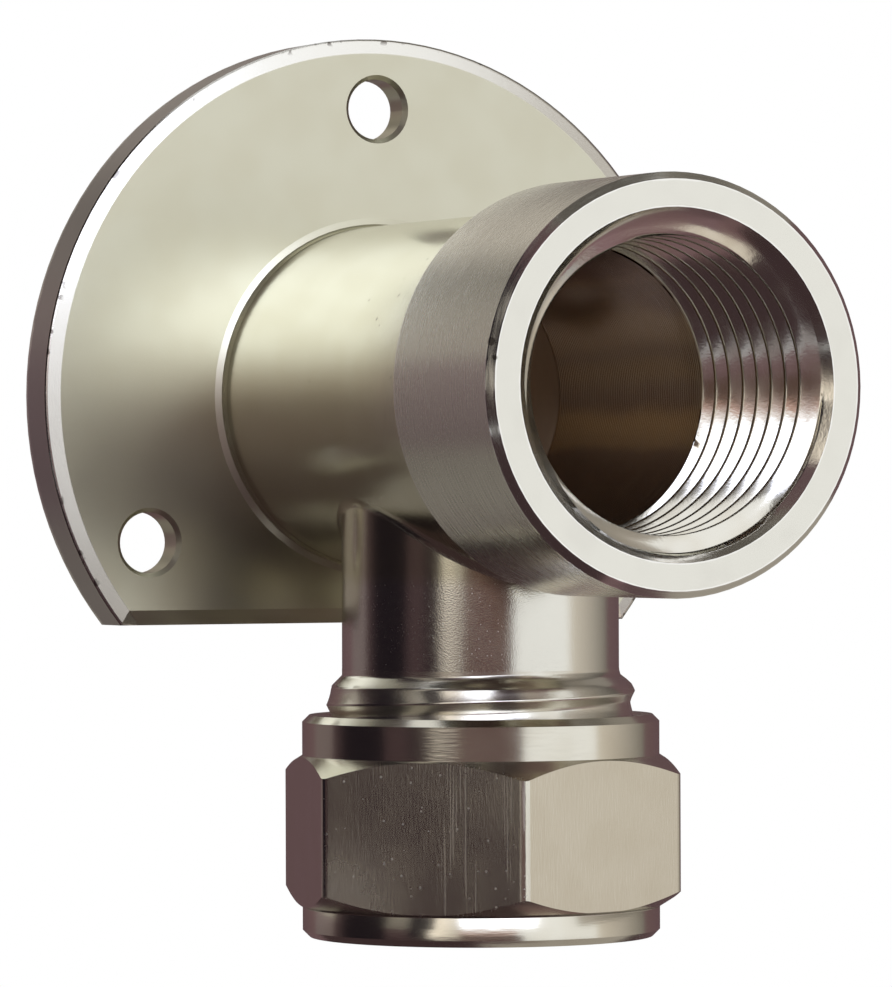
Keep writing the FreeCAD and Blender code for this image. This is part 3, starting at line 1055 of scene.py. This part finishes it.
def card_material() -> Material:
    """Make the cards' material, which shows each vertex's own shade.

    Returns:
        The material.
    """
    material = new_material("card_shade")
    nodes = material.node_tree.nodes
    graph = Graph(material.node_tree)
    nodes.remove(nodes["Principled BSDF"])
    shade = graph.node("ShaderNodeVertexColor", layer_name="shade")
    glow = graph.node("ShaderNodeEmission", {"Color": shade.outputs["Color"], "Strength": 1.0})
    graph.feed(nodes["Material Output"].inputs["Surface"], glow.outputs[0])
    material.cycles.emission_sampling = "NONE"
    return material


def studio_cards() -> list[Card]:
    """List the cards, from the camera's side round by the left, the back and the right.

    Returns:
        The cards.
    """
    brown = (0.092, 0.054, 0.042)
    black = (0.014, 0.010, 0.013)
    ground = umber(0.032)
    under = partial(Card, distance=0.29)
    return [
        Card("camera_below", (-130, -90), (-16, -6), umber(0.12), lift=0.8),
        Card("camera_side", (-130, -90), (-6, 2), brown),
        Card("camera_above", (-130, -94), (2, 8), brown, lift=8.0),
        Card("over_camera", (-132, -108), (36, 66), warm(0.15)),
        Card("strip_low", (-146, -130), (-16, -2), umber(0.02), umber(0.05)),
        Card("strip", (-146, -130), (-2, 34), warm(1.15), warm(0.45), lift=1.3),
        Card("strip_high", (-146, -132), (34, 66), umber(0.08)),
        Card("strip_edge", (-152, -146), (-1, 8), black, warm(1.5)),
        Card("left_edge_low", (-164, -146), (-16, -1), umber(0.03), umber(0.02)),
        Card("left_edge_mid", (-164, -152), (-1, 8), black),
        Card("left_edge", (-164, -146), (8, 66), black),
        Card("left_low", (-180, -164), (-16, 8), umber(0.015), lift=4.0),
        Card("left_high", (-180, -164), (8, 66), warm(0.2), lift=2.2),
        Card("left_back", (148, 180), (-16, 66), black),
        Card("left_back_edge", (134, 148), (-16, 66), umber(0.05), black),
        Card("back_left_low", (110, 134), (-16, 8), (0.14, 0.11, 0.11), lift=1.7),
        Card("back_left", (110, 134), (8, 28), warm(0.34)),
        Card("back_left_high", (110, 134), (28, 66), warm(0.08)),
        Card("back_low", (60, 110), (-16, 14), umber(0.05), umber(0.09), lift=1.3),
        Card("back_mid", (60, 110), (14, 30), warm(0.22)),
        Card("back_high", (60, 110), (30, 66), warm(0.8)),
        Card("back_right_low", (12, 60), (-16, 28), umber(0.10), umber(0.07)),
        Card("back_right_high", (12, 60), (28, 66), warm(0.25)),
        Card("right", (-38, 12), (-16, 10), warm(0.66), warm(0.18)),
        Card("right_above", (-38, 12), (10, 28), warm(0.35), warm(0.08)),
        Card("right_high", (-38, 12), (28, 66), warm(0.4), warm(0.1)),
        Card("front_low", (-76, -46), (-16, -8), warm(0.25)),
        Card("front_right", (-52, -38), (9, 28), warm(0.4)),
        under("under_left", (-180, -86), (-90, -16), ground),
        under("under_front", (-86, -64), (-34, -16), warm(0.7)),
        under("under_front_low", (-86, -64), (-90, -34), umber(0.12)),
        under("under_corner", (-64, -24), (-90, -16), ground, lift=5.0),
        under("under_right", (-24, 26), (-90, -16), warm(0.35)),
        under("under_back", (26, 180), (-90, -34), ground),
        under("under_back_edge", (26, 90), (-34, -16), umber(0.05), umber(0.10)),
        under("under_back_left", (90, 134), (-34, -16), warm(0.22), warm(0.18)),
        under("under_far_left", (134, 180), (-34, -16), black),
        Card("top", (-180, 0), (66, 90), warm(0.1)),
    ]


@dataclass
class Studio:
    """The white surround, the pale floor, the lamp and the cards. Angles are in degrees, as in a direction."""

    floor_drop: float = 0.30
    floor_radius: float = 2.4
    floor_sides: int = 96
    floor_colour: Colour = (0.86, 0.86, 0.85)
    floor_roughness: float = 0.8
    floor_seen: Colour = (0.88, 0.88, 0.87)
    ambient: Colour = (0.9, 0.88, 0.85)
    ambient_strength: float = 0.45
    lamp_turn: float = -105.0
    lamp_rise: float = 25.0
    lamp_size: Pair = (0.95, 0.5)
    lamp_glow: float = 1.6
    lamp_colour: Colour = (0.93, 1.0, 1.3)
    lamp_distance: float = 1.1

    def build(self) -> None:
        """Set up the whole studio."""
        self._surround()
        self._floor()
        self._lamp()
        material = card_material()
        for card in studio_cards():
            card.build(material)

    def _surround(self) -> None:
        """Make the surround white to the eye and in reflections, and a dim light otherwise."""
        world = bpy.data.worlds.new("white_surround")
        bpy.context.scene.world = world
        world.use_nodes = True
        world.cycles.sampling_method = "NONE"
        graph = Graph(world.node_tree)
        dim = world.node_tree.nodes["Background"]
        graph.feed(dim.inputs["Color"], self.ambient)
        graph.feed(dim.inputs["Strength"], self.ambient_strength)
        white = graph.node("ShaderNodeBackground", {"Color": (1.0, 1.0, 1.0), "Strength": 1.0})
        path = graph.node("ShaderNodeLightPath")
        seen = graph.most(*(path.outputs[f"Is {kind} Ray"] for kind in ("Camera", "Glossy", "Transmission")))
        mixed = graph.node("ShaderNodeMixShader", {0: seen, 1: dim.outputs[0], 2: white.outputs[0]})
        graph.feed(world.node_tree.nodes["World Output"].inputs["Surface"], mixed.outputs[0])

    def _floor(self) -> None:
        """Lay the pale floor below the object, which hangs on its wall plate."""
        mesh = bmesh.new()
        bmesh.ops.create_circle(mesh, cap_ends=True, segments=self.floor_sides, radius=self.floor_radius,
                                matrix=Matrix.Translation((0.0, 0.0, -self.floor_drop)))
        floor = add_mesh("floor", mesh)
        material = new_material("pale_floor")
        graph = Graph(material.node_tree)
        shader = graph.tree.nodes["Principled BSDF"]
        graph.feed(shader.inputs["Base Color"], self.floor_colour)
        graph.feed(shader.inputs["Roughness"], self.floor_roughness)
        pale = graph.node("ShaderNodeEmission", {"Color": self.floor_seen, "Strength": 1.0})
        path = graph.node("ShaderNodeLightPath")
        mixed = graph.node("ShaderNodeMixShader", {0: path.outputs["Is Camera Ray"], 1: shader.outputs[0],
                                                   2: pale.outputs[0]})
        graph.feed(graph.tree.nodes["Material Output"].inputs["Surface"], mixed.outputs[0])
        material.cycles.emission_sampling = "NONE"
        floor.data.materials.append(material)

    def _lamp(self) -> None:
        """Hang the soft rectangular lamp, facing the object."""
        data = bpy.data.lights.new("front_high_softbox", "AREA")
        data.shape = "RECTANGLE"
        data.size, data.size_y = self.lamp_size
        data.energy = self.lamp_glow * math.pi * math.prod(self.lamp_size)
        data.color = self.lamp_colour
        lamp = link(bpy.data.objects.new(data.name, data))
        away = direction(self.lamp_turn, self.lamp_rise)
        lamp.location = away * self.lamp_distance
        lamp.rotation_euler = away.to_track_quat("Z", "Y").to_euler()
        LOG.info("lamp %s", lamp.name)


@dataclass(frozen=True)
class PhotoCamera:
    """The camera at the photograph's place. Lengths are in millimetres, angles in degrees, focus in pixels."""

    yaw: float = 26.392
    pitch: float = -0.092
    roll: float = -0.2
    distance: float = 388.0
    slide: Pair = (3.585, -3.354)
    target: Triple = (0.0, -22.0, -10.0)
    focal_pixels: float = 5912.5
    long_side_pixels: int = 987
    sensor: float = 36.0
    clip: Pair = (0.01, 20.0)

    def build(self) -> None:
        """Set up the camera as the scene's own."""
        yaw, pitch, roll = (math.radians(angle) for angle in (self.yaw, self.pitch, self.roll))
        back = Vector((-math.sin(yaw) * math.cos(pitch), -math.cos(yaw) * math.cos(pitch), math.sin(pitch)))
        level = (-back).cross(Vector((0.0, 0.0, 1.0))).normalized()
        above = level.cross(-back)
        right = math.cos(roll) * level + math.sin(roll) * above
        up = -math.sin(roll) * level + math.cos(roll) * above
        place = Vector(self.target) + back * self.distance - right * self.slide[0] - up * self.slide[1]
        data = bpy.data.cameras.new("photo_camera")
        data.sensor_width = self.sensor
        data.lens = self.focal_pixels * self.sensor / self.long_side_pixels
        data.clip_start, data.clip_end = self.clip
        camera = link(bpy.data.objects.new("photo_camera", data))
        axes = Matrix((right, up, back)).transposed().to_4x4()
        camera.matrix_world = Matrix.Translation(place * MM) @ axes
        bpy.context.scene.camera = camera


def main() -> None:
    """Build the elbow, its joint, the studio and the camera."""
    logging.basicConfig(level=logging.INFO, format="%(message)s")
    bpy.context.scene.view_settings.view_transform = "Standard"
    sizes = Sizes.from_frame()
    effects = Effects()
    elbow = Elbow(sizes)
    elbow.dress(elbow.build(), effects)
    CompressionJoint(sizes).dress(effects)
    Studio().build()
    PhotoCamera().build()


if __name__ == "__main__":
    main()
